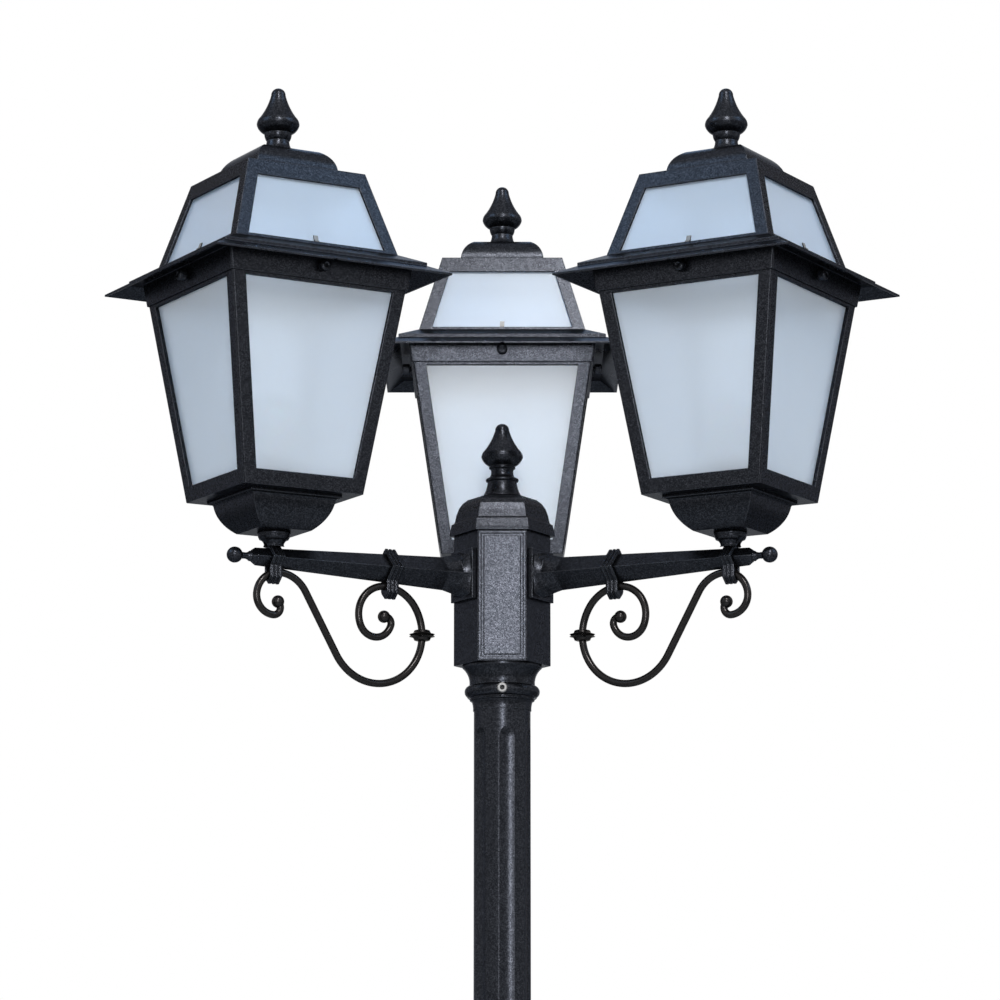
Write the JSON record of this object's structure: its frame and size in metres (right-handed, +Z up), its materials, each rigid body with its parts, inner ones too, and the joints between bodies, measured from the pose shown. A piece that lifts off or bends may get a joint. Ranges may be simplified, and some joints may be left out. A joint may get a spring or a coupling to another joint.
{
  "type": "triple head lamp post",
  "caption": "Outdoor fluted lamp post: hexagonal hub with scrolled arms carrying tapered glazed lanterns with lift-off roofs, on a cast bell base.",
  "frame": {"origin": "centre of the anchor bolt circle, on the underside of the base at ground level", "axes": "+Z up along the post, -Y to the front, with one lantern at the rear and the other two to the front left and front right"},
  "size_m": [0.8658, 0.7498, 2.6848],
  "materials": {
    "coat": "fine textured black powder coat with a faint metallic fleck",
    "scroll_coat": "semi-gloss black powder coat",
    "bright_steel": "plain stainless steel",
    "frosted_glass": "frosted, faintly blue",
    "opal_glass": "opal white, smooth",
    "bulb_metal": "bright",
    "holder_plastic": "matt black thermoplastic",
    "terminal_plastic": "matt cream"
  },
  "bodies": {
    "post": {"base_casting": "coat", "pole_shaft": "coat", "set_screws": "bright_steel", "pole_collar": "coat", "hub_body": "coat", "hub_panels": "coat", "hub_cap": "coat", "hub_finial": "coat", "terminal_block": "terminal_plastic", "arm_bolts": "bright_steel", "arm_knobs": "coat", "scroll_rings": "scroll_coat", "scroll_clamps": "coat", "rear_arm": "coat", "rear_scroll": "scroll_coat", "rear_stem": "coat", "rear_bowl": "coat", "rear_cage": "coat", "rear_cage_glass": "frosted_glass", "rear_lampholder": "holder_plastic", "left_arm": "coat", "left_scroll": "scroll_coat", "left_stem": "coat", "left_bowl": "coat", "left_cage": "coat", "left_cage_glass": "frosted_glass", "left_lampholder": "holder_plastic", "right_arm": "coat", "right_scroll": "scroll_coat", "right_stem": "coat", "right_bowl": "coat", "right_cage": "coat", "right_cage_glass": "frosted_glass", "right_lampholder": "holder_plastic"},
    "rear_roof_lid": {"rear_roof": "coat", "rear_roof_glass": "frosted_glass", "rear_glass_clips": "bright_steel", "rear_roof_screws": "coat", "rear_roof_cap": "coat", "rear_roof_finial": "coat"},
    "rear_bulb": {"rear_bulb_cap": "bulb_metal", "rear_bulb_globe": "opal_glass"},
    "left_roof_lid": {"left_roof": "coat", "left_roof_glass": "frosted_glass", "left_glass_clips": "bright_steel", "left_roof_screws": "coat", "left_roof_cap": "coat", "left_roof_finial": "coat"},
    "left_bulb": {"left_bulb_cap": "bulb_metal", "left_bulb_globe": "opal_glass"},
    "right_roof_lid": {"right_roof": "coat", "right_roof_glass": "frosted_glass", "right_glass_clips": "bright_steel", "right_roof_screws": "coat", "right_roof_cap": "coat", "right_roof_finial": "coat"},
    "right_bulb": {"right_bulb_cap": "bulb_metal", "right_bulb_globe": "opal_glass"}
  },
  "joints": [
    {"name": "rear_roof_lift", "type": "slide", "parent": "post", "child": "rear_roof_lid", "axis": [0, 0, 1], "range_m": [0, 0.15]},
    {"name": "rear_bulb_turn", "type": "hinge", "parent": "post", "child": "rear_bulb", "pos_m": [0, 0.2806, 2.2443], "axis": [0, 0, 1], "range_deg": [0, 1080]},
    {"name": "left_roof_lift", "type": "slide", "parent": "post", "child": "left_roof_lid", "axis": [0, 0, 1], "range_m": [0, 0.15]},
    {"name": "left_bulb_turn", "type": "hinge", "parent": "post", "child": "left_bulb", "pos_m": [-0.24301, -0.1403, 2.2443], "axis": [0, 0, 1], "range_deg": [0, 1080]},
    {"name": "right_roof_lift", "type": "slide", "parent": "post", "child": "right_roof_lid", "axis": [0, 0, 1], "range_m": [0, 0.15]},
    {"name": "right_bulb_turn", "type": "hinge", "parent": "post", "child": "right_bulb", "pos_m": [0.24301, -0.1403, 2.2443], "axis": [0, 0, 1], "range_deg": [0, 1080]}
  ]
}
